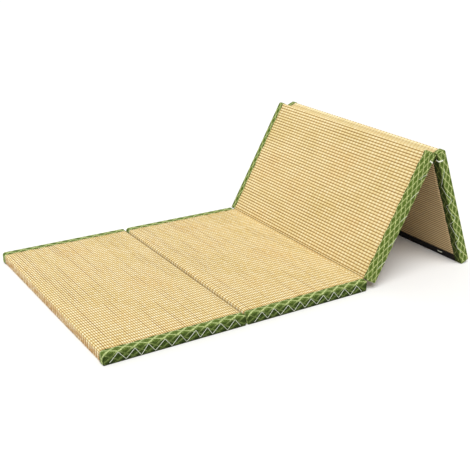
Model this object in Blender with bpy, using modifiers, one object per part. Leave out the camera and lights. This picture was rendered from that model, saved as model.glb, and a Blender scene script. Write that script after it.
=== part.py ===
"""Folding tatami mat: four rush pads with brocade bindings, two lying flat and two raised as a tent.

Metres, +Z up. The mat is long in X and wide in Y, and its origin is the middle of its footprint,
on the floor. Each panel is modelled flat, with x along it and z = 0 on its underside, and is then
placed by its object's location and rotation.
"""
import math

import bmesh
import bpy
from mathutils import Matrix, Vector

# The mat
MAT_WIDTH = 0.800
PANEL_LENGTH = 0.446
PANEL_THICKNESS = 0.035
GROOVE_WIDTH = 0.007
HINGE_GAP = 0.003
RISE_ANGLE = math.radians(61.2)
FOOT_FLAT_DEPTH = 0.0006

# Cloth and clearances
FIT_GAP = 0.0003
BINDING_THICKNESS = 0.0012
BINDING_WIDTH = 0.023
BINDING_UNDER_WIDTH = 0.029
BINDING_EDGE_RADIUS = 0.0035
BACKING_THICKNESS = 0.0012
BACKING_MARGIN = 0.0010
STRIP_THICKNESS = 0.0012
HINGE_FLAP = 0.014
GROOVE_FLOOR_HEIGHT = 0.0030
FOOT_TAPE_WIDTH = 0.026
FOOT_TAPE_TURN_UP = 0.006

# Facets in the rounded end edges
TOP_STEPS = 4
UNDER_STEPS = 3
SIDE_STEPS = 2

# Outer end radii of each panel: start top, end top, start underside, end underside
END_RADII = {
    1: {"start_top": 0.0090, "end_top": 0.0100, "start_under": 0.0045, "end_under": 0.0030},
    2: {"start_top": 0.0100, "end_top": 0.0030, "start_under": 0.0030, "end_under": 0.0045},
    3: {"start_top": 0.0030, "end_top": 0.0080, "start_under": 0.0045, "end_under": 0.0040},
    4: {"start_top": 0.0080, "end_top": 0.0060, "start_under": 0.0040, "end_under": 0.0050},
}

# The rush's crown: its rise over the pad's edge height, at a distance in from the binding
CROWN = [
    {"inset": 0.0010, "rise": 0.0000},
    {"inset": 0.0070, "rise": 0.0008},
    {"inset": 0.0300, "rise": 0.0014},
]
CROWN_END_REACH = 0.030
CROWN_END_SHARE = 0.25

# The rush's ribs, which run across the panel: their pitch along it and the depth between them
RIBS = {
    1: {"pitch": 0.0071, "depth": 0.0007},
    2: {"pitch": 0.0071, "depth": 0.0007},
    3: {"pitch": 0.00985, "depth": 0.0011},
    4: {"pitch": 0.00985, "depth": 0.0011},
}
RIB_SHOULDER_SHARE = 0.22

RUSH_COLOUR = (0.72, 0.58, 0.30)
GREEN_COLOUR = (0.10, 0.17, 0.05)
BACKING_COLOUR = (0.30, 0.21, 0.13)
HINGE_COLOUR = (0.45, 0.33, 0.16)
TAPE_COLOUR = (0.015, 0.013, 0.012)
RUSH_ROUGHNESS = 0.75
GREEN_ROUGHNESS = 0.70
PLAIN_CLOTH_ROUGHNESS = 0.85

# Half sizes of the block under the floor, and its depth
FLOOR_BLOCK = (1.0, 0.6, 0.1)

SKIN = BINDING_THICKNESS + FIT_GAP
PAD_WIDTH = MAT_WIDTH - 2 * SKIN
PAD_THICKNESS = PANEL_THICKNESS - 2 * SKIN
INNER_EDGE = MAT_WIDTH / 2 - BINDING_WIDTH
UNDER_INNER_EDGE = MAT_WIDTH / 2 - BINDING_UNDER_WIDTH
SAME_PLACE = 1e-6


def clear_scene():
    for item in list(bpy.data.objects):
        bpy.data.objects.remove(item, do_unlink=True)


def new_collection(name):
    collection = bpy.data.collections.new(name)
    bpy.context.scene.collection.children.link(collection)
    return collection


def make_material(name, colour, roughness):
    material = bpy.data.materials.new(name)
    material.use_nodes = True
    shader = material.node_tree.nodes["Principled BSDF"]
    shader.inputs["Base Color"].default_value = (*colour, 1.0)
    shader.inputs["Roughness"].default_value = roughness
    shader.inputs["Metallic"].default_value = 0.0
    return material


def panel_frames():
    """The underside start corner and the tilt of each panel, before the mat is centred."""
    length = PANEL_LENGTH
    thick = PANEL_THICKNESS
    rise = RISE_ANGLE
    valley = Vector((2 * length + GROOVE_WIDTH + HINGE_GAP, 0.0, thick))
    along_rise = Vector((math.cos(rise), 0.0, math.sin(rise)))
    below_rise = Vector((math.sin(rise), 0.0, -math.cos(rise)))
    start_three = valley + thick * below_rise
    ridge = start_three + length * along_rise
    start_four = ridge + Vector((HINGE_GAP, 0.0, 0.0))
    foot_radius = END_RADII[4]["end_under"]
    fall = foot_fall_angle(start_four.z + FOOT_FLAT_DEPTH, length, foot_radius)
    return {
        1: {"corner": Vector((0.0, 0.0, 0.0)), "tilt": 0.0},
        2: {"corner": Vector((length + GROOVE_WIDTH, 0.0, 0.0)), "tilt": 0.0},
        3: {"corner": start_three, "tilt": -rise},
        4: {"corner": start_four, "tilt": fall},
    }


def foot_fall_angle(height, length, radius):
    """The tilt at which the foot's rounded underside corner dips by FOOT_FLAT_DEPTH below the floor."""
    # The corner's centre is (length - radius, radius) in the panel, one radius over its lowest point
    reach = math.hypot(length - radius, radius)
    lead = math.atan2(radius, length - radius)
    return math.asin((height - radius) / reach) + lead


def footprint_centre(frames):
    """Half way between the first panel's start and the outer corner of the last panel's end."""
    tilt = frames[4]["tilt"]
    radius = END_RADII[4]["end_top"]
    centre = Vector((PANEL_LENGTH - radius, 0.0, PANEL_THICKNESS - radius))
    turned = Matrix.Rotation(tilt, 3, "Y") @ centre
    last_x = frames[4]["corner"].x + turned.x + radius
    return last_x / 2


def panel_matrix(frame, centre_x):
    shift = Matrix.Translation(frame["corner"] - Vector((centre_x, 0.0, 0.0)))
    return shift @ Matrix.Rotation(frame["tilt"], 4, "Y")


def add_object(name, mesh, material, collection, matrix):
    item = bpy.data.objects.new(name, mesh)
    collection.objects.link(item)
    mesh.materials.append(material)
    item.matrix_world = matrix
    return item


def box_bmesh(low, high):
    """A box between two corners, as a new bmesh."""
    bm = bmesh.new()
    bmesh.ops.create_cube(bm, size=1.0)
    size = Vector(high) - Vector(low)
    middle = (Vector(high) + Vector(low)) / 2
    bmesh.ops.scale(bm, vec=size, verts=bm.verts)
    bmesh.ops.translate(bm, vec=middle, verts=bm.verts)
    return bm


def edges_across(bm, x, z):
    """The edges that run in Y at a given x and z."""
    found = []
    for edge in bm.edges:
        if all(abs(v.co.x - x) < SAME_PLACE and abs(v.co.z - z) < SAME_PLACE for v in edge.verts):
            found.append(edge)
    return found


def round_ends(bm, low, high, radii, inset):
    """Round the four end edges of a box, with the panel's outer radii less an inset."""
    corners = (
        ("start_top", low[0], high[2], TOP_STEPS),
        ("end_top", high[0], high[2], TOP_STEPS),
        ("start_under", low[0], low[2], UNDER_STEPS),
        ("end_under", high[0], low[2], UNDER_STEPS),
    )
    for key, x, z, steps in corners:
        bmesh.ops.bevel(
            bm, geom=edges_across(bm, x, z), offset=radii[key] - inset, segments=steps,
            profile=0.5, affect="EDGES", clamp_overlap=True)


def round_side(bm, y, radius):
    """Round the edges that run round the side face at y."""
    rim = []
    for edge in bm.edges:
        on_side = all(abs(v.co.y - y) < SAME_PLACE for v in edge.verts)
        if on_side and len(edge.link_faces) == 2:
            rim.append(edge)
    bmesh.ops.bevel(
        bm, geom=rim, offset=radius, segments=SIDE_STEPS, profile=0.5, affect="EDGES",
        clamp_overlap=True)


def top_faces(bm):
    """The level faces on top, between the rounded ends and the rounded sides."""
    return [face for face in bm.faces if face.normal.z > 0.999]


def cut_top(bm, axis, places):
    """Cut the level top with planes across one axis, to give it more points."""
    for place in places:
        point = Vector((0.0, 0.0, 0.0))
        point[axis] = place
        normal = Vector((0.0, 0.0, 0.0))
        normal[axis] = 1.0
        faces = top_faces(bm)
        edges = {edge for face in faces for edge in face.edges}
        verts = {vert for face in faces for vert in face.verts}
        geometry = [*verts, *edges, *faces]
        bmesh.ops.bisect_plane(bm, geom=geometry, plane_co=point, plane_no=normal, dist=SAME_PLACE)


def crown_rise(y):
    """How far the rush stands over the pad's edge height: level under the binding, raised inside."""
    inset = INNER_EDGE - abs(y)
    if inset <= CROWN[0]["inset"]:
        return CROWN[0]["rise"]
    for before, after in zip(CROWN, CROWN[1:]):
        if inset <= after["inset"]:
            share = (inset - before["inset"]) / (after["inset"] - before["inset"])
            return before["rise"] + share * (after["rise"] - before["rise"])
    return CROWN[-1]["rise"]


def end_fade(x):
    """One along the pad and less towards its ends, where the crown runs out."""
    from_end = min(x, PANEL_LENGTH - x)
    return min(1.0, max(CROWN_END_SHARE, from_end / CROWN_END_REACH))


def rib_grooves(number):
    """The places along a panel of the grooves between its ribs, and their pitch."""
    start = END_RADII[number]["start_top"]
    end = PANEL_LENGTH - END_RADII[number]["end_top"]
    count = round((end - start) / RIBS[number]["pitch"])
    pitch = (end - start) / count
    return [start + pitch * step for step in range(1, count)], pitch


def make_rush_pad(number, material, collection, matrix):
    """A filled pad: flat below, rounded all round, softly crowned and ribbed between the bindings."""
    low = (SKIN, -PAD_WIDTH / 2, SKIN)
    high = (PANEL_LENGTH - SKIN, PAD_WIDTH / 2, PANEL_THICKNESS - SKIN)
    bm = box_bmesh(low, high)
    round_ends(bm, low, high, END_RADII[number], SKIN)
    for y in (low[1], high[1]):
        round_side(bm, y, BINDING_EDGE_RADIUS - SKIN)
    across = [0.0]
    for row in CROWN:
        across += [INNER_EDGE - row["inset"], row["inset"] - INNER_EDGE]
    cut_top(bm, 1, sorted(across))
    grooves, pitch = rib_grooves(number)
    shoulder = pitch * RIB_SHOULDER_SHARE
    along = []
    for groove in grooves:
        along += [groove - shoulder, groove, groove + shoulder]
    cut_top(bm, 0, along)
    depth = RIBS[number]["depth"]
    for vert in bm.verts:
        rise = crown_rise(vert.co.y)
        if vert.co.z < high[2] - SAME_PLACE or rise == 0.0:
            continue
        vert.co.z += rise * end_fade(vert.co.x)
        if min(abs(vert.co.x - groove) for groove in grooves) < SAME_PLACE:
            vert.co.z -= depth
    mesh = bpy.data.meshes.new(f"rush_pad_{number}")
    bm.to_mesh(mesh)
    bm.free()
    return add_object(f"rush_pad_{number}", mesh, material, collection, matrix)


def thicken_cloth(item, thickness, offset):
    """Give a surface its cloth thickness: inwards at offset -1, half to each side at 0."""
    solidify = item.modifiers.new("cloth", "SOLIDIFY")
    solidify.thickness = thickness
    solidify.offset = offset
    solidify.use_even_offset = True
    solidify.use_rim = True


def make_binding(number, side, material, collection, matrix):
    """A brocade strip folded over the pad's edge, over its top, side, underside and end corners."""
    outer = side * MAT_WIDTH / 2
    inner = side * INNER_EDGE
    low = (0.0, min(outer, inner), 0.0)
    high = (PANEL_LENGTH, max(outer, inner), PANEL_THICKNESS)
    bm = box_bmesh(low, high)
    round_ends(bm, low, high, END_RADII[number], 0.0)
    open_faces = [f for f in bm.faces if f.normal.y * side < -0.9]
    bmesh.ops.delete(bm, geom=open_faces, context="FACES")
    round_side(bm, outer, BINDING_EDGE_RADIUS)
    for vert in bm.verts:
        if abs(vert.co.y - inner) < SAME_PLACE and vert.co.z < SAME_PLACE:
            vert.co.y = side * UNDER_INNER_EDGE
    mesh = bpy.data.meshes.new(f"binding_{number}")
    bm.to_mesh(mesh)
    bm.free()
    name = f"binding_{number}_{'near' if side < 0 else 'far'}"
    item = add_object(name, mesh, material, collection, matrix)
    thicken_cloth(item, BINDING_THICKNESS, -1.0)
    return item


def make_backing(number, material, collection, matrix):
    """The cloth under a pad, between the two bindings."""
    half = UNDER_INNER_EDGE - FIT_GAP
    radii = END_RADII[number]
    start = radii["start_under"] + BACKING_MARGIN
    end = PANEL_LENGTH - radii["end_under"] - BACKING_MARGIN
    if number == 4:
        end = PANEL_LENGTH - radii["end_under"] - FOOT_TAPE_WIDTH - FIT_GAP
    bm = box_bmesh((start, -half, 0.0), (end, half, BACKING_THICKNESS))
    mesh = bpy.data.meshes.new(f"backing_{number}")
    bm.to_mesh(mesh)
    bm.free()
    return add_object(f"backing_{number}", mesh, material, collection, matrix)


def make_strip(name, section, half, material, collection):
    """A folded strip of cloth: its section in x and z, drawn out to half each side and thickened."""
    bm = bmesh.new()
    verts = [bm.verts.new((x, -half, z)) for x, z in section]
    edges = [bm.edges.new(pair) for pair in zip(verts, verts[1:])]
    drawn = bmesh.ops.extrude_edge_only(bm, edges=edges)
    moved = [item for item in drawn["geom"] if isinstance(item, bmesh.types.BMVert)]
    bmesh.ops.translate(bm, vec=(0.0, 2 * half, 0.0), verts=moved)
    mesh = bpy.data.meshes.new(name)
    bm.to_mesh(mesh)
    bm.free()
    item = add_object(name, mesh, material, collection, Matrix.Identity(4))
    thicken_cloth(item, STRIP_THICKNESS, 0.0)
    return item


def panel_point(matrix, x, z):
    """A point of a panel's section in the mat's own x and z."""
    placed = matrix @ Vector((x, 0.0, z))
    return placed.x, placed.z


def fold_section(matrix_before, matrix_after, height, direction):
    """Two flaps along the facing ends of two panels, joined by a fold at the given height."""
    off = FIT_GAP + STRIP_THICKNESS / 2 - SKIN
    tip = height + direction * HINGE_FLAP
    return [
        panel_point(matrix_before, PANEL_LENGTH + off, tip),
        panel_point(matrix_before, PANEL_LENGTH + off, height),
        panel_point(matrix_after, -off, height),
        panel_point(matrix_after, -off, tip),
    ]


def foot_tape_section(matrix):
    """The tape's way along the last panel's underside, round its foot and up its end."""
    radius = END_RADII[4]["end_under"]
    depth = STRIP_THICKNESS / 2
    bend = radius - depth
    points = [(PANEL_LENGTH - radius - FOOT_TAPE_WIDTH, depth)]
    for step in range(UNDER_STEPS + 1):
        turn = math.radians(90) * step / UNDER_STEPS
        x = PANEL_LENGTH - radius + bend * math.sin(turn)
        z = radius - bend * math.cos(turn)
        points.append((x, z))
    points.append((PANEL_LENGTH - depth, radius + FOOT_TAPE_TURN_UP))
    return [panel_point(matrix, x, z) for x, z in points]


def make_floor_cutter(collection):
    """A block under the floor, which gives the last panel's feet their small flats."""
    reach_x, reach_y, depth = FLOOR_BLOCK
    bm = box_bmesh((-reach_x, -reach_y, -depth), (reach_x, reach_y, 0.0))
    mesh = bpy.data.meshes.new("floor_cutter")
    bm.to_mesh(mesh)
    bm.free()
    cutter = bpy.data.objects.new("floor_cutter", mesh)
    collection.objects.link(cutter)
    cutter.hide_render = True
    cutter.display_type = "WIRE"
    return cutter


def trim_at_floor(item, cutter):
    trim = item.modifiers.new("foot flat", "BOOLEAN")
    trim.operation = "DIFFERENCE"
    trim.solver = "EXACT"
    trim.object = cutter


def build_mat():
    clear_scene()
    mat = new_collection("folding_tatami_mat")
    cutters = new_collection("cutters")
    rush = make_material("woven rush", RUSH_COLOUR, RUSH_ROUGHNESS)
    green = make_material("green brocade", GREEN_COLOUR, GREEN_ROUGHNESS)
    lining = make_material("ribbed underside cloth", BACKING_COLOUR, PLAIN_CLOTH_ROUGHNESS)
    hinge = make_material("hinge cloth", HINGE_COLOUR, PLAIN_CLOTH_ROUGHNESS)
    tape = make_material("dark tape", TAPE_COLOUR, PLAIN_CLOTH_ROUGHNESS)
    frames = panel_frames()
    centre_x = footprint_centre(frames)
    matrices = {number: panel_matrix(frame, centre_x) for number, frame in frames.items()}
    feet = []
    for number, matrix in matrices.items():
        make_rush_pad(number, rush, mat, matrix)
        make_backing(number, lining, mat, matrix)
        for side in (-1, 1):
            binding = make_binding(number, side, green, mat, matrix)
            if number == 4:
                feet.append(binding)
    tape_section = foot_tape_section(matrices[4])
    feet.append(make_strip("foot_tape", tape_section, UNDER_INNER_EDGE - FIT_GAP, tape, mat))
    half = INNER_EDGE - FIT_GAP
    groove = fold_section(matrices[1], matrices[2], GROOVE_FLOOR_HEIGHT, 1)
    make_strip("hinge_groove", groove, half, hinge, mat)
    valley = fold_section(matrices[2], matrices[3], PANEL_THICKNESS - STRIP_THICKNESS, -1)
    make_strip("hinge_valley", valley, half, rush, mat)
    ridge = fold_section(matrices[3], matrices[4], STRIP_THICKNESS, 1)
    make_strip("hinge_ridge", ridge, half, rush, mat)
    cutter = make_floor_cutter(cutters)
    for foot in feet:
        trim_at_floor(foot, cutter)


build_mat()
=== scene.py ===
import math
import random

import bmesh
import bpy
import numpy as np
from mathutils import Matrix, Vector


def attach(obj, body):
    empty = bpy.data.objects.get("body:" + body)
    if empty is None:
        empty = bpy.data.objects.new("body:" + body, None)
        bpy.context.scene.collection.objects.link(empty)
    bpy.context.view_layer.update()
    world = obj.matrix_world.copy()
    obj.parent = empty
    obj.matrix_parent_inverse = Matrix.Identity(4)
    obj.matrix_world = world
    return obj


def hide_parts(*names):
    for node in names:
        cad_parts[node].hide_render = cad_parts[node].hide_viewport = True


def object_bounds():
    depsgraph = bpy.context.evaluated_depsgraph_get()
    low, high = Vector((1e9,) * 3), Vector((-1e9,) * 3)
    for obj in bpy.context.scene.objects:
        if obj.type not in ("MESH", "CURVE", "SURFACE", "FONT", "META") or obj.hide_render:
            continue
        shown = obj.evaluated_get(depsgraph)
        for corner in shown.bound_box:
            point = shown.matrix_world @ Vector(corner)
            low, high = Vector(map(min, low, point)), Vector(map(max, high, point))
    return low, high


# Folding tatami mat: rush covers, brocade bindings, underside cloths, hinge strips and hand sewing

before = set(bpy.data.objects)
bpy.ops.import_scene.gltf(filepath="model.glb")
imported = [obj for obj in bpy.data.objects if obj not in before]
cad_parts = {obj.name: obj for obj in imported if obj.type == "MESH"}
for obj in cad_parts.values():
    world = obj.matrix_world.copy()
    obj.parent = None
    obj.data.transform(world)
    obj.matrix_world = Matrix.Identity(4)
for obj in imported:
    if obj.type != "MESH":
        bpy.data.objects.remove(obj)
cadLow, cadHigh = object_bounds()
print("frame loaded", len(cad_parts), "nodes")

# Sizes in metres, the same as the solids that the pieces stand for
mat = {
    "width": 0.800,
    "panelLength": 0.446,
    "thickness": 0.035,
    "groove": 0.007,
    "hingeGap": 0.003,
    "riseDegrees": 61.2,
    "footFlat": 0.0006,
    "fitGap": 0.0003,
    "cloth": 0.0012,
    "topStrip": 0.023,
    "underStrip": 0.029,
    "edgeRadius": 0.0035,
}
endRadii = {
    1: {"startTop": 0.0090, "endTop": 0.0100, "startUnder": 0.0045, "endUnder": 0.0030},
    2: {"startTop": 0.0100, "endTop": 0.0030, "startUnder": 0.0030, "endUnder": 0.0045},
    3: {"startTop": 0.0030, "endTop": 0.0080, "startUnder": 0.0045, "endUnder": 0.0040},
    4: {"startTop": 0.0080, "endTop": 0.0060, "startUnder": 0.0040, "endUnder": 0.0050},
}
skin = mat["cloth"] + mat["fitGap"]
sides = {"near": -1, "far": 1}
mmPerMetre = 1000
closeEnough = 1e-6   # metres, for telling whether two places are the same


def panelMatrix(number):
    # The panel lies along x with z = 0 on its underside; this places it in the mat
    length, thick = mat["panelLength"], mat["thickness"]
    rise = math.radians(mat["riseDegrees"])
    if number == 1:
        corner, tilt = Vector((0, 0, 0)), 0.0
    elif number == 2:
        corner, tilt = Vector((length + mat["groove"], 0, 0)), 0.0
    else:
        valley = Vector((2 * length + mat["groove"] + mat["hingeGap"], 0, thick))
        corner = valley + thick * Vector((math.sin(rise), 0, -math.cos(rise)))
        tilt = -rise
    if number == 4:
        corner = corner + length * Vector((math.cos(rise), 0, math.sin(rise)))
        corner = corner + Vector((mat["hingeGap"], 0, 0))
        radius = endRadii[4]["endUnder"]
        reach = math.hypot(length - radius, radius)
        lead = math.atan2(radius, length - radius)
        tilt = math.asin((corner.z + mat["footFlat"] - radius) / reach) + lead
    corner.x += cadLow.x
    return Matrix.Translation(corner) @ Matrix.Rotation(tilt, 4, "Y")


panels = {number: panelMatrix(number) for number in endRadii}


# Material helpers

def linearColour(hexText):
    parts = [int(hexText[i:i + 2], 16) / 255 for i in (1, 3, 5)]
    return [*[c / 12.92 if c <= 0.04045 else ((c + 0.055) / 1.055) ** 2.4 for c in parts], 1.0]


def addNode(tree, kind, inputs=None, **settings):
    # An input may be a value, a socket, or a node, which stands for its first live output
    node = tree.nodes.new("ShaderNode" + kind)
    for name, value in settings.items():
        setattr(node, name, value)
    for key, value in (inputs or {}).items():
        if isinstance(value, bpy.types.Node):
            value = next(socket for socket in value.outputs if socket.enabled)
        if isinstance(value, bpy.types.NodeSocket):
            tree.links.new(value, node.inputs[key])
        else:
            node.inputs[key].default_value = value
    return node


def rampStops(node, stops):
    ramp = node.color_ramp
    while len(ramp.elements) < len(stops):
        ramp.elements.new(0.5)
    for element, (place, hexText) in zip(ramp.elements, stops):
        element.position = place
        element.color = linearColour(hexText)


def newMaterial(name):
    made = bpy.data.materials.new(name)
    made.use_nodes = True
    tree = made.node_tree
    return made, tree, tree.nodes["Principled BSDF"]


def mapAxes(tree, mapName, scale):
    # A flat map of the cloth, along the panel and across it, scaled to millimetres or to ribs and rows
    flat = addNode(tree, "UVMap", uv_map=mapName)
    scaled = addNode(tree, "VectorMath", {0: flat, 1: (scale, scale, scale)}, operation="MULTIPLY")
    parts = addNode(tree, "SeparateXYZ", {0: scaled})
    return parts.outputs[0], parts.outputs[1]


def ridgeProfile(tree, coordinate, pitch, power):
    # 0 in the groove between two ridges and 1 on the crest; the lower the power, the broader the crest
    angle = addNode(tree, "Math", {0: coordinate, 1: math.pi / pitch}, operation="MULTIPLY")
    sine = addNode(tree, "Math", {0: angle}, operation="SINE")
    wave = addNode(tree, "Math", {0: sine}, operation="ABSOLUTE")
    return addNode(tree, "Math", {0: wave, 1: power}, operation="POWER")


def mottle(tree, along, across, size, detail=3.0):
    # Noise drawn out to a size in mm along the panel and across it
    vector = addNode(tree, "CombineXYZ", {
        0: addNode(tree, "Math", {0: along, 1: size[0]}, operation="DIVIDE"),
        1: addNode(tree, "Math", {0: across, 1: size[1]}, operation="DIVIDE")})
    return addNode(tree, "TexNoise", {"Vector": vector, "Scale": 1.0, "Detail": detail}).outputs[0]


def layTints(tree, base, tints):
    # Each tint, a hex colour or a node, darkens the base as far as its amount times its share says
    for amount, share, colour in tints:
        level = addNode(tree, "Math", {0: amount, 1: share}, operation="MULTIPLY")
        colour = linearColour(colour) if isinstance(colour, str) else colour
        base = addNode(tree, "Mix", {0: level, 6: base, 7: colour}, data_type="RGBA", blend_type="MULTIPLY")
    return base


def finishCloth(tree, shader, height, look):
    # What every cloth here ends with: its relief, roughness and gloss
    bump = addNode(tree, "Bump", {
        "Height": height, "Strength": look["bumpStrength"], "Distance": look["bumpDepth"]})
    tree.links.new(bump.outputs[0], shader.inputs["Normal"])
    shader.inputs["Roughness"].default_value = look["roughness"]
    shader.inputs["Specular IOR Level"].default_value = look["gloss"]


def span(low, high):
    # The limits of a Map Range node, as its inputs
    return {1: low, 2: high}


rush = {
    # The colour of the painted highlight on each bead
    "bright": "#FFF6CC",
    "streak": "#D6BE8A",
    "streakSize": (2.4, 240.0),      # mm along the panel and across it, as the other sizes
    "streakShare": 0.35,
    "amber": "#F3CB80",
    "amberLevels": span(0.50, 0.72),
    "amberShare": 0.20,
    "sage": "#E6E0B0",
    "sageLevels": span(0.50, 0.28),
    "sageShare": 0.35,
    "patchSize": (160.0, 220.0),     # of the amber and the sage
    # Painted shade in the gaps where the stalks lie apart
    "gapShade": "#BE9A5E",
    "gapShadeSize": (0.31, 300.0),    # in ribs, then in mm
    "gapShadeLevels": span(0.52, 0.62),
    "grooveLevels": span(0.75, 0.25),
    # Painted shade where the cover turns down over an end
    "endShade": "#B88A46",
    "coverMiddle": 252.0,            # mm from a cover's lower edge, round the end, to its middle
    "endTurn": span(220.0, 234.0),   # mm from the middle to where the surface turns down over an end
    # From a groove to its crest, for the ribs and for the rows: painted shade in the grooves, painted
    # highlight on the crests
    "ribShadeStops": [(0.42, "#D1B67E"), (0.70, "#F5E7BA"), (1.0, "#FFF6D2")],
    "rowShadeStops": [(0.0, "#906A2C"), (0.45, "#E6D2A0"), (0.75, "#FFFAE6"), (1.0, "#FFFFFF")],
    "crest": 0.9,
    "stalksPerRib": 3,
    "stalkCrest": 0.8,
    "stalkHeight": 0.6,
    "grainSize": (0.9, 22.0),
    "bumpStrength": 0.4,
    "bumpDepth": 0.0005,
    "roughness": 0.62,
    "gloss": 0.3,
}
# How each kind of panel shows its weave: pitches and depths in mm, the groove colour and the shares of the
# painted row shade, bead highlights and gap shade, how far its turned-down ends get painted shade, and the
# tone over the whole cover, darker on the raised panels as painted shade
weaves = {
    "flat": {
        "ribPitch": 7.1, "ribDepth": 0.9, "rowPitch": 14.5, "rowDepth": 0.8,
        "rows": 0.75, "beadHighlights": 0.75, "gapShades": 1.0, "ends": 0.12, "groove": "#8A6A28", "tone": "#FAF5E4"},
    "raised": {
        "ribPitch": 9.85, "ribDepth": 1.6, "rowPitch": 14.5, "rowDepth": 0.6,
        "rows": 0.28, "beadHighlights": 0.42, "gapShades": 0.3, "ends": 0.0, "groove": "#6E4E18", "tone": "#F2EAD6"},
}
# On the mat's free end the cover gets painted shade where it turns down; the end in the groove is as pale as
# the top
weaves["free"] = {**weaves["flat"], "ends": 0.8}


def wovenRush(kind):
    # Dried soft rush woven over a hidden warp: waxy pale straw, matt, streaked along the stalks
    made, tree, shader = newMaterial(f"woven rush {kind}")
    weave = weaves[kind]
    along, across = mapAxes(tree, "clothMap", mmPerMetre)
    ribs, rows = mapAxes(tree, "weaveMap", 1)
    ribCrest = ridgeProfile(tree, ribs, 1.0, rush["crest"])
    rowCrest = ridgeProfile(tree, rows, 1.0, rush["crest"])
    # The rib and row ramps paint shade into the grooves and a highlight onto the crests; the relief itself is
    # in the mesh
    base = addNode(tree, "ValToRGB", {0: ribCrest})
    rampStops(base, [(0.0, weave["groove"]), *rush["ribShadeStops"]])
    rowShading = addNode(tree, "ValToRGB", {0: rowCrest})
    rampStops(rowShading, rush["rowShadeStops"])
    # Dark lines: painted shade in single grooves where the stalks lie apart for a hand's breadth
    fromGroove = addNode(tree, "Math", {0: ribs, 1: 0.5}, operation="ADD")
    lane = addNode(tree, "Math", {0: fromGroove}, operation="FLOOR")
    apart = mottle(tree, lane, across, rush["gapShadeSize"], 1.0)
    gap = addNode(tree, "MapRange", {0: apart, **rush["gapShadeLevels"]})
    groove = addNode(tree, "MapRange", {0: ribCrest, **rush["grooveLevels"]})
    gapShades = addNode(tree, "Math", {0: gap, 1: groove}, operation="MULTIPLY")
    patches = mottle(tree, along, across, rush["patchSize"], 2.0)
    fromMiddle = addNode(tree, "Math", {0: along, 1: rush["coverMiddle"]}, operation="SUBTRACT")
    fromMiddle = addNode(tree, "Math", {0: fromMiddle}, operation="ABSOLUTE")
    turnedDown = addNode(tree, "MapRange", {0: fromMiddle, **rush["endTurn"]})
    # The raised panels' darker tone is painted shade, and so are the row shade, the end shade and the gap
    # shade
    base = layTints(tree, base, [
        (weave["rows"], 1.0, rowShading),
        (1.0, 1.0, weave["tone"]),
        (turnedDown, weave["ends"], rush["endShade"]),
        (mottle(tree, along, across, rush["streakSize"]), rush["streakShare"], rush["streak"]),
        (addNode(tree, "MapRange", {0: patches, **rush["amberLevels"]}), rush["amberShare"], rush["amber"]),
        (addNode(tree, "MapRange", {0: patches, **rush["sageLevels"]}), rush["sageShare"], rush["sage"]),
        (gapShades, weave["gapShades"], rush["gapShade"])])
    # Beads: a painted highlight of its own strength where a rib crosses a row
    cell = addNode(tree, "CombineXYZ", {
        0: addNode(tree, "Math", {0: ribs}, operation="FLOOR"),
        1: addNode(tree, "Math", {0: rows}, operation="FLOOR")})
    highlightAmount = addNode(tree, "TexWhiteNoise", {"Vector": cell}, noise_dimensions="2D").outputs[0]
    for factor in (ribCrest, ribCrest, rowCrest, rowCrest, weave["beadHighlights"]):
        highlightAmount = addNode(tree, "Math", {0: highlightAmount, 1: factor}, operation="MULTIPLY")
    bright = linearColour(rush["bright"])
    base = addNode(tree, "Mix", {0: highlightAmount, 6: base, 7: bright}, data_type="RGBA", blend_type="SCREEN")
    tree.links.new(base.outputs[2], shader.inputs["Base Color"])
    stalks = ridgeProfile(tree, ribs, 1 / rush["stalksPerRib"], rush["stalkCrest"])
    grain = mottle(tree, along, across, rush["grainSize"])
    height = addNode(tree, "Math", {0: stalks, 1: rush["stalkHeight"], 2: grain}, operation="MULTIPLY_ADD")
    finishCloth(tree, shader, height, rush)
    return made


brocade = {
    "wobble": 2.4,
    "wobbleSize": (18.0, 18.0),
    # The tones that follow a line towards a lozenge's middle, and how far past the line each one comes
    "nest": [
        (0.08, "groundLight"), (0.22, "ground"), (0.30, "innerLine"), (0.38, "innerLine"), (0.46, "ground")],
    "blotch": "#5F7236",
    "blotchSize": (5.0, 5.0),
    "blotchLevels": span(0.40, 0.65),
    "blotchShade": 0.55,
    # Ranges in mm across the cloth: the side starts at 23, the floor is at 58 and the flap under it goes on
    # The side, low and under tints are painted shade: down the side face, deeper near the floor, and on the
    # flap under the panel
    "side": "#6E7F42",
    "sideRange": span(22.0, 32.0),
    "low": "#5A5A38",
    "lowRange": span(46.0, 58.0),
    "under": "#6E7440",
    "underRange": span(58.0, 62.0),
    "paintedUnderShade": 0.85,
    "threadPitch": 1.6,
    "threadCrest": 0.8,
    "threadHeight": 0.4,
    "bumpStrength": 0.5,
    "bumpDepth": 0.0008,
    "roughness": 0.78,
    "gloss": 0.12,
}
# Lozenges in mm along and across the strip, the lean that makes one set of diagonals the bolder, a line's
# half width as a share of the way to a lozenge's middle, and how far painted shade darkens the side and the
# floor edge: strongly on the flat panels' sides, hardly at all on the raised panels
edgings = {
    "flat": {
        "length": 44.0, "height": 26.0, "lean": 1.5, "lineWidth": 0.20, "paintedSideShade": 0.85, "paintedFloorShade": 0.75,
        "ground": "#4D5F1F", "groundLight": "#6D833A", "line": "#C2CE8C", "innerLine": "#869A50"},
    "raised": {
        "length": 41.0, "height": 20.0, "lean": 1.0, "lineWidth": 0.10, "paintedSideShade": 0.05, "paintedFloorShade": 0.0,
        "ground": "#4C621F", "groundLight": "#667C30", "line": "#C8D08C", "innerLine": "#84964A"},
}


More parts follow.
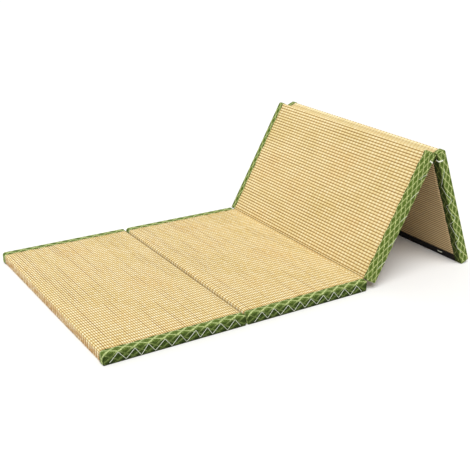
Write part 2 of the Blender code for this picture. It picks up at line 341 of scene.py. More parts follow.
def greenBrocade(kind):
    # Cotton and rayon edging woven with nested lozenges: matt ground, pale figure yarns a little proud
    made, tree, shader = newMaterial(f"green brocade {kind}")
    look = edgings[kind]
    along, across = mapAxes(tree, "clothMap", mmPerMetre)
    wobble = mottle(tree, along, across, brocade["wobbleSize"], 1.0)
    bent = addNode(tree, "Math", {0: wobble, 1: brocade["wobble"], 2: across}, operation="MULTIPLY_ADD")
    first = addNode(tree, "Math", {0: along, 1: look["length"]}, operation="DIVIDE")
    second = addNode(tree, "Math", {0: bent, 1: look["height"]}, operation="DIVIDE")
    # How far each point is from the nearest diagonal of the lattice: 0 on it, 1 in the middle of a lozenge
    fromLines = []
    for operation, lean in (("ADD", 1.0), ("SUBTRACT", look["lean"])):
        slanted = addNode(tree, "Math", {0: first, 1: second}, operation=operation)
        away = addNode(tree, "Math", {0: slanted, 1: 0.5}, operation="PINGPONG")
        fromLines.append(addNode(tree, "Math", {0: away, 1: 2 * lean}, operation="MULTIPLY"))
    nearest = addNode(tree, "Math", {0: fromLines[0], 1: fromLines[1]}, operation="MINIMUM")
    pattern = addNode(tree, "ValToRGB", {0: nearest})
    width = look["lineWidth"]
    nested = [(width + further, look[tone]) for further, tone in brocade["nest"]]
    rampStops(pattern, [(0.0, look["line"]), (width, look["line"]), *nested, (1.0, look["groundLight"])])
    # Painted shade on the side of the strip from its top edge down to the floor, and on the flap under the
    # panel
    down = addNode(tree, "MapRange", {0: across, **brocade["sideRange"]})
    floorward = addNode(tree, "MapRange", {0: across, **brocade["lowRange"]})
    beneath = addNode(tree, "MapRange", {0: across, **brocade["underRange"]})
    blotches = mottle(tree, along, across, brocade["blotchSize"])
    blotches = addNode(tree, "MapRange", {0: blotches, **brocade["blotchLevels"]})
    toned = layTints(tree, pattern, [
        (blotches, brocade["blotchShade"], brocade["blotch"]),
        (down, look["paintedSideShade"], brocade["side"]),
        (floorward, look["paintedFloorShade"], brocade["low"]),
        (beneath, brocade["paintedUnderShade"], brocade["under"])])
    tree.links.new(toned.outputs[2], shader.inputs["Base Color"])
    weft = ridgeProfile(tree, along, brocade["threadPitch"], brocade["threadCrest"])
    warp = ridgeProfile(tree, across, brocade["threadPitch"], brocade["threadCrest"])
    threads = addNode(tree, "Math", {0: weft, 1: warp}, operation="MULTIPLY")
    raised = addNode(tree, "Math", {0: 1.0, 1: nearest}, operation="SUBTRACT")
    height = addNode(tree, "Math", {
        0: threads, 1: brocade["threadHeight"], 2: raised}, operation="MULTIPLY_ADD")
    finishCloth(tree, shader, height, brocade)
    return made


lining = {
    "ribPitch": 9.0,
    "ribCrest": 0.9,
    "groove": "#452F18",
    "crest": "#DCC294",
    "fade": "#B39C72",
    "fadeSize": (5.0, 90.0),
    "fadeShade": 0.4,
    "waver": 3.0,
    "waverSize": (60.0, 45.0),
    "crossPitch": 2.2,
    "crossCrest": 0.8,
    "crossHeight": 0.4,
    "bumpStrength": 0.6,
    "bumpDepth": 0.0008,
    "roughness": 0.85,
    "gloss": 0.2,
}


def ribbedLining():
    # Plain ribbed backing cloth, jute coloured: dull and slightly hairy
    made, tree, shader = newMaterial("ribbed backing cloth")
    along, across = mapAxes(tree, "clothMap", mmPerMetre)
    waver = mottle(tree, along, across, lining["waverSize"], 2.0)
    bent = addNode(tree, "Math", {0: waver, 1: lining["waver"], 2: along}, operation="MULTIPLY_ADD")
    ribs = ridgeProfile(tree, bent, lining["ribPitch"], lining["ribCrest"])
    colour = addNode(tree, "ValToRGB", {0: ribs})
    rampStops(colour, [(0.0, lining["groove"]), (1.0, lining["crest"])])
    faded = mottle(tree, along, across, lining["fadeSize"])
    toned = layTints(tree, colour, [(faded, lining["fadeShade"], lining["fade"])])
    tree.links.new(toned.outputs[2], shader.inputs["Base Color"])
    cross = ridgeProfile(tree, across, lining["crossPitch"], lining["crossCrest"])
    height = addNode(tree, "Math", {0: cross, 1: lining["crossHeight"], 2: ribs}, operation="MULTIPLY_ADD")
    finishCloth(tree, shader, height, lining)
    return made


evenWeave = {"crest": 0.7, "bumpStrength": 0.4, "bumpDepth": 0.0005, "gloss": 0.25}
plainCloths = {
    "hinge cloth": {
        **evenWeave, "dark": "#4E381E", "light": "#8A6B3E", "pitch": 2.4, "roughness": 0.8},
    # The tape's near-black colour is partly the black cloth and partly painted shade at the foot
    "black tape with painted shade": {
        **evenWeave, "dark": "#050404", "light": "#120F0D", "pitch": 1.8, "roughness": 0.85},
}


def plainCloth(name):
    # A plain weave of even cotton threads, matt
    made, tree, shader = newMaterial(name)
    look = plainCloths[name]
    along, across = mapAxes(tree, "clothMap", mmPerMetre)
    weft = ridgeProfile(tree, along, look["pitch"], look["crest"])
    warp = ridgeProfile(tree, across, look["pitch"], look["crest"])
    weave = addNode(tree, "Math", {0: weft, 1: warp}, operation="MULTIPLY")
    colour = addNode(tree, "ValToRGB", {0: weave})
    rampStops(colour, [(0.0, look["dark"]), (1.0, look["light"])])
    tree.links.new(colour.outputs[0], shader.inputs["Base Color"])
    finishCloth(tree, shader, weave, look)
    return made


# A wave scale of 400 makes a turn of the ply about every 0.8 mm
thread = {"dark": "#D8DDC2", "light": "#F4F5E8", "twistScale": 400.0, "twistWander": 1.0, "roughness": 0.6}


def sewingThread():
    # Bleached cotton thread, two ply: bright, soft, with a slight twist
    made, tree, shader = newMaterial("white cotton thread")
    place = addNode(tree, "TexCoord")
    twist = addNode(tree, "TexWave", {
        "Vector": place.outputs["Object"],
        "Scale": thread["twistScale"],
        "Distortion": thread["twistWander"]})
    colour = addNode(tree, "ValToRGB", {0: twist.outputs["Fac"]})
    rampStops(colour, [(0.0, thread["dark"]), (1.0, thread["light"])])
    tree.links.new(colour.outputs[0], shader.inputs["Base Color"])
    shader.inputs["Roughness"].default_value = thread["roughness"]
    return made


# Shape helpers

def addObject(name, data):
    made = bpy.data.objects.new(name, data)
    bpy.context.scene.collection.objects.link(made)
    return made


def addPiece(name, mesh, material, matrix, nodes=()):
    piece = addObject(name, mesh)
    piece.matrix_world = matrix
    piece.data.materials.append(material)
    bpy.context.view_layer.update()
    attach(piece, "root")
    if nodes:
        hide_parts(*nodes)
    return piece


def applyModifiers(piece):
    bpy.context.view_layer.update()
    evaluated = piece.evaluated_get(bpy.context.evaluated_depsgraph_get())
    made = bpy.data.meshes.new_from_object(evaluated)
    piece.modifiers.clear()
    old = piece.data
    piece.data = made
    bpy.data.meshes.remove(old)


def thicken(piece, offset):
    solidify = piece.modifiers.new("cloth", "SOLIDIFY")
    solidify.thickness = mat["cloth"]
    solidify.offset = offset
    solidify.use_even_offset = True
    solidify.use_rim = True
    applyModifiers(piece)


def gridMesh(name, points, uvs, weaveUvs=None, closeBelow=False):
    # points is rows by columns by 3; closeBelow adds the flat underside and the two flat sides
    rows, columns = points.shape[:2]
    index = np.arange(rows * columns).reshape(rows, columns)
    quads = np.stack([index[:-1, :-1], index[1:, :-1], index[1:, 1:], index[:-1, 1:]], axis=-1)
    faces = [tuple(int(i) for i in quad) for quad in quads.reshape(-1, 4)]
    if closeBelow:
        faces.append(tuple(int(i) for i in [*index[0, :], *index[-1, ::-1]]))
        faces.append(tuple(int(i) for i in index[::-1, 0]))
        faces.append(tuple(int(i) for i in index[:, -1]))
    mesh = bpy.data.meshes.new(name)
    mesh.from_pydata(points.reshape(-1, 3).tolist(), [], faces)
    corners = np.zeros(len(mesh.loops), dtype=np.int64)
    mesh.loops.foreach_get("vertex_index", corners)
    for mapName, values in (("clothMap", uvs), ("weaveMap", weaveUvs)):
        if values is not None:
            layer = mesh.uv_layers.new(name=mapName)
            layer.data.foreach_set("uv", values.reshape(-1, 2)[corners].astype(np.float32).ravel())
    mesh.polygons.foreach_set("use_smooth", [True] * len(mesh.polygons))
    mesh.validate()
    return mesh


def sectionPath(number, inset):
    # The panel's end-to-end section above its underside, as straight and round stretches
    radii = {key: value - inset for key, value in endRadii[number].items()}
    low, high = inset, mat["thickness"] - inset
    start, end = inset, mat["panelLength"] - inset
    stretches = []

    def straight(a, b, normal):
        stretches.append({"kind": "line", "a": Vector(a), "b": Vector(b), "normal": Vector(normal),
                          "length": (Vector(b) - Vector(a)).length})

    def bend(centre, radius, fromDegrees):
        stretches.append({"kind": "arc", "centre": Vector(centre), "radius": radius, "from": fromDegrees,
                          "length": radius * math.pi / 2})

    bend((start + radii["startUnder"], low + radii["startUnder"]), radii["startUnder"], 270)
    straight((start, low + radii["startUnder"]), (start, high - radii["startTop"]), (-1, 0))
    bend((start + radii["startTop"], high - radii["startTop"]), radii["startTop"], 180)
    straight((start + radii["startTop"], high), (end - radii["endTop"], high), (0, 1))
    bend((end - radii["endTop"], high - radii["endTop"]), radii["endTop"], 90)
    straight((end, high - radii["endTop"]), (end, low + radii["endUnder"]), (1, 0))
    bend((end - radii["endUnder"], low + radii["endUnder"]), radii["endUnder"], 0)
    return stretches


def pathPoint(stretches, distance):
    for stretch in stretches:
        if distance <= stretch["length"] or stretch is stretches[-1]:
            share = min(1.0, distance / stretch["length"])
            if stretch["kind"] == "line":
                return stretch["a"].lerp(stretch["b"], share), stretch["normal"]
            angle = math.radians(stretch["from"] - 90 * share)
            normal = Vector((math.cos(angle), math.sin(angle)))
            return stretch["centre"] + stretch["radius"] * normal, normal
        distance -= stretch["length"]


cover = {
    "crownRise": 0.0014,        # how far the rush bulges between the bindings
    "crownPower": 0.7,
    "crownReach": 0.060,
    "endReach": 0.030,
    "endCrown": 0.25,           # the share of the crown that is left at an end
    "ribShares": (0.0, 0.18, 0.5, 0.82),
    "ribHeights": (0.0, 0.72, 1.0, 0.72),
    "rowShares": (0.0, 0.16, 0.5, 0.84),
    "rowHeights": (0.0, 0.70, 1.0, 0.70),
    "ribUp": 0.6,               # ribs show where the surface faces up at least this much
    "unevenness": 0.00015,      # how far one rib lies above or below the next
    "endRowDepth": 2.0,         # mm, the rows' depth where they turn over an end
    "endRowReach": 0.014,       # metres in from the end over which that depth runs out
}


def ridgeSamples(length, pitch, shares, heights):
    # Sample places that fall on each groove and crest, with the ridge's height there
    count = round(length / pitch)
    places, levels = [], []
    for ridge in range(count):
        for share, height in zip(shares, heights):
            places.append((ridge + share) / count)
            levels.append(height)
    return np.array(places + [1.0]) * length, np.array(levels + [heights[0]]), length / count


def crownRise(y):
    inset = mat["width"] / 2 - mat["topStrip"] - abs(y)
    share = min(1.0, max(0.0, inset / cover["crownReach"]))
    return cover["crownRise"] * math.sin(share * math.pi / 2) ** cover["crownPower"]


def makeRushCover(number, kind, material):
    weave = weaves[kind]
    path = sectionPath(number, skin)
    total = sum(stretch["length"] for stretch in path)
    places, ribLevels, ribPitch = ridgeSamples(
        total, weave["ribPitch"] / mmPerMetre, cover["ribShares"], cover["ribHeights"])
    width = mat["width"] - 2 * skin
    acrossPlaces, rowLevels, rowPitch = ridgeSamples(
        width, weave["rowPitch"] / mmPerMetre, cover["rowShares"], cover["rowHeights"])
    perRib = len(cover["ribShares"])
    uneven = cover["unevenness"]
    dice = random.Random(40 + number)
    lift = [dice.uniform(-uneven, uneven) for _ in range(len(places) // perRib + 2)]
    points = np.zeros((len(places), len(acrossPlaces), 3))
    uvs = np.zeros((len(places), len(acrossPlaces), 2))
    weaveUvs = np.zeros((len(places), len(acrossPlaces), 2))
    rises = np.array([crownRise(y - width / 2) for y in acrossPlaces])
    for i, distance in enumerate(places):
        spot, normal = pathPoint(path, distance)
        fromEnd = min(spot.x, mat["panelLength"] - spot.x)
        fade = min(1.0, max(cover["endCrown"], fromEnd / cover["endReach"])) * max(0.0, normal.y)
        rib = i // perRib
        onTop = pathPoint(path, (rib + 0.5) * ribPitch)[1].y > cover["ribUp"]
        nearEnd = min(1.0, max(0.0, 1 - fromEnd / cover["endRowReach"]))
        rowDepth = weave["rowDepth"] + (cover["endRowDepth"] - weave["rowDepth"]) * nearEnd
        ribDepth = weave["ribDepth"] if onTop else 0.0
        depth = ribDepth * (1 - ribLevels[i]) + rowDepth * (1 - rowLevels)
        if i in (0, len(places) - 1):
            depth = depth * 0
        inward = np.maximum(depth / mmPerMetre + lift[rib], 0.0)
        points[i, :, 0] = spot.x - normal.x * inward
        points[i, :, 1] = acrossPlaces - width / 2
        points[i, :, 2] = spot.y - normal.y * inward + rises * fade
        uvs[i, :, 0] = distance
        uvs[i, :, 1] = acrossPlaces
        weaveUvs[i, :, 0] = distance / ribPitch if onTop else rib + 0.5
        weaveUvs[i, :, 1] = acrossPlaces / rowPitch
    points[0, :, 2] = skin
    points[-1, :, 2] = skin
    name = f"rushCover{number}"
    mesh = gridMesh(name, points, uvs, weaveUvs, closeBelow=True)
    piece = addPiece(name, mesh, material, panels[number], [f"rush_pad_{number}"])


binding = {
    "alongStep": 0.006,
    "acrossStep": 0.0042,
    "topSegments": 5,
    "underSegments": 3,
    "rimSegments": 3,
    "facing": 0.72,              # a face belongs to a side whose way its normal points by more than this
    "waver": 0.0011,             # how far the cloth's two edges wander
    "waverWaves": ((130, 1.0), (57, 0.7)),   # radians for each metre along the panel, and size
    "waverReach": 0.010,         # how far out from those edges the wander is felt
    "pucker": 0.0005,            # how far the stitches draw the side in
    "puckerRates": (140, 150),   # radians for each metre along the panel and up its side
    "puckerReach": 0.001,
    "phases": 6.28,              # a full turn, within which each wave starts at random
    "innerFacing": 0.9,          # the box's face that points inward by more than this comes off
}


def cutAcross(bm, axis, low, high, step):
    count = max(1, round((high - low) / step))
    for i in range(1, count):
        point, normal = Vector((0, 0, 0)), Vector((0, 0, 0))
        point[axis] = low + (high - low) * i / count
        normal[axis] = 1
        everything = bm.verts[:] + bm.edges[:] + bm.faces[:]
        bmesh.ops.bisect_plane(bm, geom=everything, plane_co=point, plane_no=normal, dist=closeEnough)


def edgesAt(bm, x, z):
    return [e for e in bm.edges
            if all(abs(v.co.x - x) < closeEnough and abs(v.co.z - z) < closeEnough for v in e.verts)]


def unfold(co, normal):
    # The cloth's flat coordinates: along the panel and over the end, across from the top strip's inner edge
    length, thick, top = mat["panelLength"], mat["thickness"], mat["topStrip"]
    fromInner = top - (mat["width"] / 2 - abs(co.y))
    if abs(normal.x) > binding["facing"]:
        beyond = thick - co.z
        along = -beyond if co.x < length / 2 else length + beyond
        return along, fromInner
    if abs(normal.y) > binding["facing"]:
        return co.x, top + thick - co.z
    if normal.z > 0:
        return co.x, fromInner
    return co.x, top + thick + top - fromInner


def makeBinding(number, sideName, material):
    # A box round the panel's long edge, open on its inner side, with the panel's own rounded ends
    side = sides[sideName]
    half, length, thick = mat["width"] / 2, mat["panelLength"], mat["thickness"]
    inner = half - mat["topStrip"]
    bm = bmesh.new()
    bmesh.ops.create_cube(bm, size=1.0)
    bmesh.ops.scale(bm, vec=(length, mat["topStrip"], thick), verts=bm.verts)
    bmesh.ops.translate(bm, vec=(length / 2, side * (half + inner) / 2, thick / 2), verts=bm.verts)
    rounded = {"profile": 0.5, "affect": "EDGES", "clamp_overlap": True}
    corners = {
        "startTop": (0, thick), "endTop": (length, thick), "startUnder": (0, 0), "endUnder": (length, 0)}
    for key, (x, z) in corners.items():
        segments = binding["topSegments" if "Top" in key else "underSegments"]
        radius = endRadii[number][key]
        bmesh.ops.bevel(bm, geom=edgesAt(bm, x, z), offset=radius, segments=segments, **rounded)
    innerFace = [f for f in bm.faces if f.normal.y * side < -binding["innerFacing"]]
    bmesh.ops.delete(bm, geom=innerFace, context="FACES")
    rim = [e for e in bm.edges if len(e.link_faces) == 2
           and all(abs(v.co.y - side * half) < closeEnough for v in e.verts)]
    bmesh.ops.bevel(bm, geom=rim, offset=mat["edgeRadius"], segments=binding["rimSegments"], **rounded)
    cutAcross(bm, 0, 0.0, length, binding["alongStep"])
    cutAcross(bm, 2, 0.0, thick, binding["acrossStep"])
    cutAcross(bm, 1, min(side * inner, side * half), max(side * inner, side * half), binding["acrossStep"])
    layer = bm.loops.layers.uv.new("clothMap")
    bm.normal_update()
    for face in bm.faces:
        for loop in face.loops:
            loop[layer].uv = unfold(loop.vert.co, face.normal)
    spare = mat["topStrip"] - mat["underStrip"]
    dice = random.Random(number * 10 + side)
    phases = [dice.uniform(0, binding["phases"]) for _ in range(4)]
    alongRate, upRate = binding["puckerRates"]
    for vert in bm.verts:
        fromInner = abs(vert.co.y) - inner
        if fromInner < binding["waverReach"]:
            share = 1 - fromInner / binding["waverReach"]
            if vert.co.z < closeEnough:
                vert.co.y += side * spare * share
            sway = 0
            for (rate, size), phase in zip(binding["waverWaves"], phases):
                sway += size * math.sin(vert.co.x * rate + phase)
            vert.co.y += side * share * binding["waver"] * sway
        if abs(vert.co.y) > half - binding["puckerReach"]:
            sway = math.sin(vert.co.x * alongRate + phases[2]) * math.sin(vert.co.z * upRate + phases[3])
            vert.co.y -= side * binding["pucker"] * 0.5 * (1 + sway)
    mesh = bpy.data.meshes.new(f"binding{number}{sideName}")
    bm.to_mesh(mesh)
    bm.free()
    mesh.polygons.foreach_set("use_smooth", [True] * len(mesh.polygons))
    name = f"binding{number}{sideName.capitalize()}"
    piece = addPiece(name, mesh, material, panels[number], [f"binding_{number}_{sideName}"])
    thicken(piece, -1.0)
    # The foot's corner is pressed flat on the floor
    upright = piece.matrix_world.inverted()
    for vert in piece.data.vertices:
        placed = piece.matrix_world @ vert.co
        if placed.z < 0:
            placed.z = 0
            vert.co = upright @ placed


backing = {"margin": 0.0010, "step": 0.012, "sag": 0.00025, "sagRates": (37, 23), "tapeWidth": 0.026}


def makeBacking(number, material):
    half = mat["width"] / 2 - mat["underStrip"] - mat["fitGap"]
    start = endRadii[number]["startUnder"] + backing["margin"]
    end = mat["panelLength"] - endRadii[number]["endUnder"] - backing["margin"]
    if number == 4:
        end = mat["panelLength"] - endRadii[number]["endUnder"] - backing["tapeWidth"] - mat["fitGap"]
    xs = np.linspace(start, end, round((end - start) / backing["step"]))
    ys = np.linspace(-half, half, round(2 * half / backing["step"]))
    points = np.zeros((len(xs), len(ys), 3))
    uvs = np.zeros((len(xs), len(ys), 2))
    alongRate, acrossRate = backing["sagRates"]
    for i, x in enumerate(xs):
        wave = 0.5 * np.sin(x * alongRate + number) * np.sin(ys * acrossRate + number)
        points[i, :, 0] = x
        points[i, :, 1] = ys
        points[i, :, 2] = backing["sag"] * (0.5 + wave)
        uvs[i, :, 0] = x
        uvs[i, :, 1] = ys
    name = f"backing{number}"
    mesh = gridMesh(name, points, uvs)
    piece = addPiece(name, mesh, material, panels[number], [f"backing_{number}"])
    thicken(piece, 1.0)


# The hinges and the foot tape
strip = {
    "flap": 0.014,
    "grooveFloor": 0.0030,
    "step": 0.010,
    "turnUp": 0.006,
    "turnSteps": 6,
    # The rush strips' places between two grooves: the valley's lower place darkens its fold with painted
    # groove shade
    "valleyShade": 0.18,
    "ridgeShade": 0.25,
}


def panelPoint(number, x, z):
    placed = panels[number] @ Vector((x, 0, z))
    return Vector((placed.x, placed.z))


def makeStrip(name, section, inset, material, node, shade=0.5):
    # A folded strip: its section in x and z drawn out across the mat, short of the bindings. shade is the
    # place between two grooves whose tone the strip takes; nearer a groove that tone holds more of the
    # painted groove shade
    half = mat["width"] / 2 - inset - mat["fitGap"]
    ys = np.linspace(-half, half, round(2 * half / strip["step"]))
    points = np.zeros((len(section), len(ys), 3))
    uvs = np.zeros((len(section), len(ys), 2))
    weaveUvs = np.zeros((len(section), len(ys), 2))
    run = 0.0
    for i, spot in enumerate(section):
        if i:
            run += (spot - section[i - 1]).length
        points[i, :, 0] = spot.x
        points[i, :, 1] = ys
        points[i, :, 2] = spot.y
        uvs[i, :, 0] = run
        uvs[i, :, 1] = ys
        weaveUvs[i, :, 0] = shade
        weaveUvs[i, :, 1] = ys * mmPerMetre / weaves["raised"]["rowPitch"]
    mesh = gridMesh(name, points, uvs, weaveUvs)
    piece = addPiece(name, mesh, material, Matrix.Identity(4), [node])
    thicken(piece, 0.0)


def makeHinges(clothMaterial, rushMaterial):
    off = mat["fitGap"] + mat["cloth"] / 2 - skin
    length, thick = mat["panelLength"], mat["thickness"]
    low, high = strip["grooveFloor"], strip["grooveFloor"] + strip["flap"]
    groove = [panelPoint(1, length + off, high), panelPoint(1, length + off, low),
              panelPoint(2, -off, low), panelPoint(2, -off, high)]
    over = thick - mat["cloth"]
    valley = [panelPoint(2, length + off, over - strip["flap"]), panelPoint(2, length + off, over),
              panelPoint(3, -off, over), panelPoint(3, -off, over - strip["flap"])]
    under = mat["cloth"]
    ridge = [panelPoint(3, length + off, under + strip["flap"]), panelPoint(3, length + off, under),
             panelPoint(4, -off, under), panelPoint(4, -off, under + strip["flap"])]
    makeStrip("hingeGroove", groove, mat["topStrip"], clothMaterial, "hinge_groove")
    makeStrip("hingeValley", valley, mat["topStrip"], rushMaterial, "hinge_valley",
              strip["valleyShade"])
    makeStrip("hingeRidge", ridge, mat["topStrip"], rushMaterial, "hinge_ridge",
              strip["ridgeShade"])


def makeFootTape(material):
    radius = endRadii[4]["endUnder"]
    depth = mat["cloth"] / 2
    length = mat["panelLength"]
    section = [panelPoint(4, length - radius - backing["tapeWidth"], depth)]
    for step in range(strip["turnSteps"] + 1):
        turn = math.radians(90) * step / strip["turnSteps"]
        x = length - radius + (radius - depth) * math.sin(turn)
        z = radius - (radius - depth) * math.cos(turn)
        section.append(panelPoint(4, x, max(z, 0)))
    section.append(panelPoint(4, length - depth, radius + strip["turnUp"]))
    section = [Vector((spot.x, max(spot.y, depth))) for spot in section]
    makeStrip("footTape", section, mat["underStrip"], material, "foot_tape")


sewing = {
    "flatRadius": 0.0006,
    "raisedRadius": 0.00045,
    "tieRadius": 0.0013,
    "lift": 0.0005,                   # how far a thread's middle lies off the binding
    "drawnIn": 0.0010,                # how far it goes in at a turn or an end
    "weld": 0.00001,
    # A zigzag's lowest and highest turns on the side face, and their spread
    "low": 0.0035,
    "lowSpread": (-0.001, 0.002),
    "high": 0.0300,
    "highSpread": (-0.003, 0.001),
    # The far zigzags, which the photo doesn't show: shares of the panel's length
    "feet": 10,
    "pitch": 0.1,
    "footSpread": 0.010,
    "peakSpread": 0.012,
    # Where a zigzag's strand is held to the side face, as shares of its length, and how finely a stitch over
    # the edge follows the binding
    "strandParts": (0.08, 0.5, 0.92),
    "strandSteps": 9,
    # The two strands of a ridge tie, along the panel
    "tieOffsets": (-0.001, 0.001),
    # The stitch on the foot tape: its distance from the foot, and its places across the mat and depths
    "footFromEnd": 0.018,
    "footPlaces": (0.086, 0.090, 0.104, 0.108),
    "footDepths": (0.0008, -0.0012, -0.0012, 0.0008),
}
# Share of the panel's length at each foot and each peak of the near zigzags on the flat panels
flatStitches = {
    "1near": {"feet": (0.040, 0.148, 0.249, 0.343, 0.456, 0.560, 0.655, 0.745, 0.857, 0.955),
              "peaks": (0.097, 0.207, 0.297, 0.409, 0.515, 0.625, 0.708, 0.805, 0.912)},
    "2near": {"feet": (0.045, 0.150, 0.255, 0.365, 0.455, 0.555, 0.655, 0.745, 0.850, 0.955),
              "peaks": (0.103, 0.198, 0.313, 0.413, 0.503, 0.608, 0.700, 0.793, 0.903)},
}
# Raised panels, in metres: distance along the panel, then height on the side face or, below 0, the reach
# under it
raisedStitches = {
    3: [[(0.158, -0.006), (0.157, 0.003), (0.140, 0.006), (0.122, 0.018)],
        [(0.236, -0.006), (0.234, 0.002), (0.222, 0.011), (0.208, 0.018)],
        [(0.318, -0.006), (0.316, 0.002), (0.302, 0.013), (0.286, 0.020)],
        [(0.380, -0.006), (0.377, 0.001), (0.367, 0.013), (0.352, 0.022)],
        [(0.078, -0.006), (0.076, 0.002), (0.062, 0.012), (0.046, 0.019)]],
    4: [[(0.062, 0.014), (0.125, -0.016)],
        [(0.125, -0.016), (0.186, 0.018)],
        [(0.186, 0.018), (0.203, -0.014)],
        [(0.203, -0.014), (0.257, 0.015)],
        [(0.257, 0.015), (0.278, -0.016)],
        [(0.278, -0.016), (0.338, 0.012)],
        [(0.338, 0.012), (0.356, -0.010)],
        [(0.356, -0.010), (0.405, 0.012)]],
}
# The thick ties at the ridge: one across each panel's underside edge
ridgeTies = {3: [(0.4165, -0.006), (0.4185, 0.015)], 4: [(0.0235, -0.014), (0.0310, 0.016)]}


def sidePoint(side, along, climb):
    # A point on the binding: climb goes up its side face or, below 0, in under the panel, with the rounded
    # edge between the two. That edge is shorter than the square corner which it replaces, by twice the bend
    half, radius = mat["width"] / 2, mat["edgeRadius"]
    lift = sewing["lift"]
    bend = radius * (math.pi / 2 - 2) / 2
    quarter = radius * math.pi / 4
    if climb > quarter:
        return Vector((along, side * (half + lift), climb - bend))
    if climb < -quarter:
        return Vector((along, side * (half + climb - bend), -lift))
    angle = (climb + quarter) / (2 * quarter) * math.pi / 2
    out = radius + lift
    return Vector((along, side * (half - radius + out * math.sin(angle)), radius - out * math.cos(angle)))


def threadMesh(name, strands, radius):
    # Threads along lists of points, as tubes with closed ends
    curve = bpy.data.curves.new(name, "CURVE")
    curve.dimensions = "3D"
    curve.bevel_depth = radius
    curve.bevel_resolution = 1
    curve.use_fill_caps = True
    for points in strands:
        spline = curve.splines.new("POLY")
        spline.points.add(len(points) - 1)
        for target, point in zip(spline.points, points):
            target.co = (*point, 1)
    holder = addObject(name, curve)
    bpy.context.view_layer.update()
    mesh = bpy.data.meshes.new_from_object(holder.evaluated_get(bpy.context.evaluated_depsgraph_get()))
    bpy.data.objects.remove(holder)
    bm = bmesh.new()
    bm.from_mesh(mesh)
    bmesh.ops.remove_doubles(bm, verts=bm.verts, dist=sewing["weld"])
    bm.to_mesh(mesh)
    bm.free()
    mesh.polygons.foreach_set("use_smooth", [True] * len(mesh.polygons))
    return mesh


def flatZigzag(number, sideName):
    # One thread that zigzags up and down the side face, going in at each turn
    side = sides[sideName]
    dice = random.Random(number * 7 + side)
    marks = flatStitches.get(f"{number}{sideName}")
    if marks is None:
        pitch, footSpread, peakSpread = sewing["pitch"], sewing["footSpread"], sewing["peakSpread"]
        feet = [pitch / 2 + pitch * i + dice.uniform(-footSpread, footSpread) for i in range(sewing["feet"])]
        peaks = [pitch + pitch * i + dice.uniform(-peakSpread, peakSpread) for i in range(sewing["feet"] - 1)]
        marks = {"feet": feet, "peaks": peaks}
    stops = []
    for i, foot in enumerate(marks["feet"]):
        stops.append((foot, sewing["low"] + dice.uniform(*sewing["lowSpread"])))
        if i < len(marks["peaks"]):
            stops.append((marks["peaks"][i], sewing["high"] + dice.uniform(*sewing["highSpread"])))
    points = []
    for i, (share, height) in enumerate(stops):
        turn = sidePoint(side, share * mat["panelLength"], height)
        turn.y -= side * sewing["drawnIn"]
        points.append(turn)
        if i + 1 < len(stops):
            nextShare, nextHeight = stops[i + 1]
            for part in sewing["strandParts"]:
                along = (share + (nextShare - share) * part) * mat["panelLength"]
                points.append(sidePoint(side, along, height + (nextHeight - height) * part))
    return [points]


def edgeStrand(side, marks):
    # A stitch over the panel's underside edge, through (along, climb) marks, with its ends drawn in
    points = []
    for (along, climb), (nextAlong, nextClimb) in zip(marks, marks[1:]):
        for step in range(sewing["strandSteps"]):
            part = step / sewing["strandSteps"]
            between = (along + (nextAlong - along) * part, climb + (nextClimb - climb) * part)
            points.append(sidePoint(side, *between))
    points.append(sidePoint(side, *marks[-1]))
    for end in (0, -1):
        if marks[end][1] > 0:
            points[end].y -= side * sewing["drawnIn"]
        else:
            points[end].z += sewing["drawnIn"]
    return points


def makeSewing(number, sideName, material):
    side = sides[sideName]
    ending = f"{number}{sideName.capitalize()}"
    if number in (1, 2):
        zigzag = threadMesh(f"zigzag{ending}", flatZigzag(number, sideName), sewing["flatRadius"])
        addPiece(f"zigzag{ending}", zigzag, material, panels[number])
        return
    strands = [edgeStrand(side, marks) for marks in raisedStitches[number]]
    zigzag = threadMesh(f"zigzag{ending}", strands, sewing["raisedRadius"])
    addPiece(f"zigzag{ending}", zigzag, material, panels[number])
    ties = []
    for offset in sewing["tieOffsets"]:
        ties.append(edgeStrand(side, [(along + offset, climb) for along, climb in ridgeTies[number]]))
    tie = threadMesh(f"ridgeTie{ending}", ties, sewing["tieRadius"])
    addPiece(f"ridgeTie{ending}", tie, material, panels[number])


def makeFootStitch(material):
    # A short thick stitch in the middle of the foot tape's width
    along = mat["panelLength"] - sewing["footFromEnd"]
    strand = []
    for place, depth in zip(sewing["footPlaces"], sewing["footDepths"]):
        strand.append(Vector((along, -mat["width"] / 2 + place, depth)))
    mesh = threadMesh("footStitch", [strand], sewing["tieRadius"])
    addPiece("footStitch", mesh, material, panels[4])


# The camera, its place and lens worked out from the panels' corners in the photograph
view = {
    "place": (cadLow.x - 0.7600, -2.1830, 1.1207),
    "aim": (cadLow.x + 0.6623, 0.0, 0.1014),
    "rollDegrees": 1.003,
    "lens": 64.40,
    "sensorWidth": 36,
    "clip": (0.05, 100),
}


def makeCamera():
    data = bpy.data.cameras.new("studioCamera")
    data.lens = view["lens"]
    data.sensor_width = view["sensorWidth"]
    data.clip_start, data.clip_end = view["clip"]
    camera = addObject("studioCamera", data)
    place, aim = Vector(view["place"]), Vector(view["aim"])
    back = (place - aim).normalized()
    right = Vector((0, 0, 1)).cross(back).normalized()
    up = back.cross(right)
    roll = math.radians(view["rollDegrees"])
    turnedRight = math.cos(roll) * right + math.sin(roll) * up
    turnedUp = -math.sin(roll) * right + math.cos(roll) * up
    turned = Matrix((turnedRight, turnedUp, back)).transposed().to_4x4()
    camera.matrix_world = Matrix.Translation(place) @ turned
    bpy.context.scene.camera = camera


studio = {
    "sunStrength": 2.8,
    "sunAngle": 45,
    "sunFrom": (-0.30, -0.40, 0.85),
    "fillPower": 4.0,
    "fillSize": 1.0,
    "fillPlace": (-0.30, 1.55, 1.20),
    "fillAim": (-0.30, 0.20, 0.0),
    "worldStrength": 0.42,
    "floor": "#F4F3F1",
    "floorSize": 80,
    "floorHeight": -0.0002,   # just under the mat, so that the two faces don't fight
    "floorRoughness": 0.9,
    "floorGloss": 0.1,
}


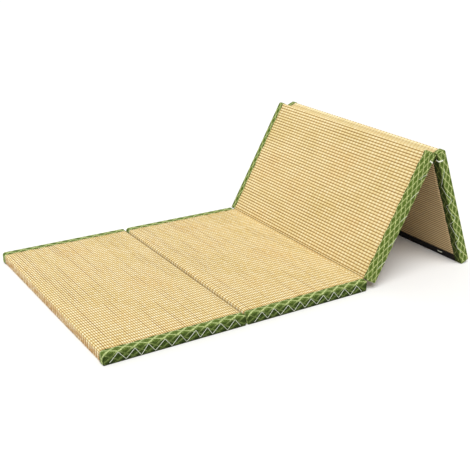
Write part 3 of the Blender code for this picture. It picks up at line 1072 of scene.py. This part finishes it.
def aimLight(name, data, direction):
    light = addObject(name, data)
    light.rotation_mode = "QUATERNION"
    light.rotation_quaternion = direction.to_track_quat("Z", "Y")
    return light


def makeStudio():
    bpy.ops.mesh.primitive_plane_add(size=studio["floorSize"], location=(0, 0, studio["floorHeight"]))
    floor = bpy.context.object
    floor.name = "studioFloor"
    # Uncoated backdrop paper: nearly white and dull
    made, tree, shader = newMaterial("studio paper")
    shader.inputs["Base Color"].default_value = linearColour(studio["floor"])
    shader.inputs["Roughness"].default_value = studio["floorRoughness"]
    shader.inputs["Specular IOR Level"].default_value = studio["floorGloss"]
    floor.data.materials.append(made)
    sun = bpy.data.lights.new("softKey", "SUN")
    sun.energy = studio["sunStrength"]
    sun.angle = math.radians(studio["sunAngle"])
    aimLight("softKey", sun, Vector(studio["sunFrom"]))
    panel = bpy.data.lights.new("softFill", "AREA")
    panel.energy = studio["fillPower"]
    panel.size = studio["fillSize"]
    fill = aimLight("softFill", panel, Vector(studio["fillPlace"]) - Vector(studio["fillAim"]))
    fill.location = studio["fillPlace"]
    world = bpy.data.worlds.new("studioWorld")
    world.use_nodes = True
    bpy.context.scene.world = world
    tree = world.node_tree
    background = tree.nodes["Background"]
    background.inputs["Color"].default_value = (1, 1, 1, 1)
    # The backdrop that the camera sees is a full step brighter than the light it gives, so it stays white
    seen = addNode(tree, "LightPath").outputs["Is Camera Ray"]
    strength = addNode(tree, "Math", {0: seen, 1: studio["worldStrength"]}, operation="ADD")
    tree.links.new(strength.outputs[0], background.inputs["Strength"])
    bpy.context.scene.view_settings.view_transform = "Standard"


makeCamera()
makeStudio()
print("camera and studio made")

kinds = {1: "flat", 2: "flat", 3: "raised", 4: "raised"}
rushKinds = {**kinds, 1: "free"}
rushMaterials = {kind: wovenRush(kind) for kind in weaves}
brocadeMaterials = {kind: greenBrocade(kind) for kind in edgings}
liningMaterial = ribbedLining()
hingeMaterial = plainCloth("hinge cloth")
tapeMaterial = plainCloth("black tape with painted shade")
threadMaterial = sewingThread()
print("materials made")

for number, kind in kinds.items():
    makeRushCover(number, rushKinds[number], rushMaterials[rushKinds[number]])
    makeBacking(number, liningMaterial)
    for sideName in sides:
        makeBinding(number, sideName, brocadeMaterials[kind])
        makeSewing(number, sideName, threadMaterial)
    print("panel", number, "dressed")
makeHinges(hingeMaterial, rushMaterials["raised"])
makeFootTape(tapeMaterial)
makeFootStitch(threadMaterial)
print("hinges and foot tape made")
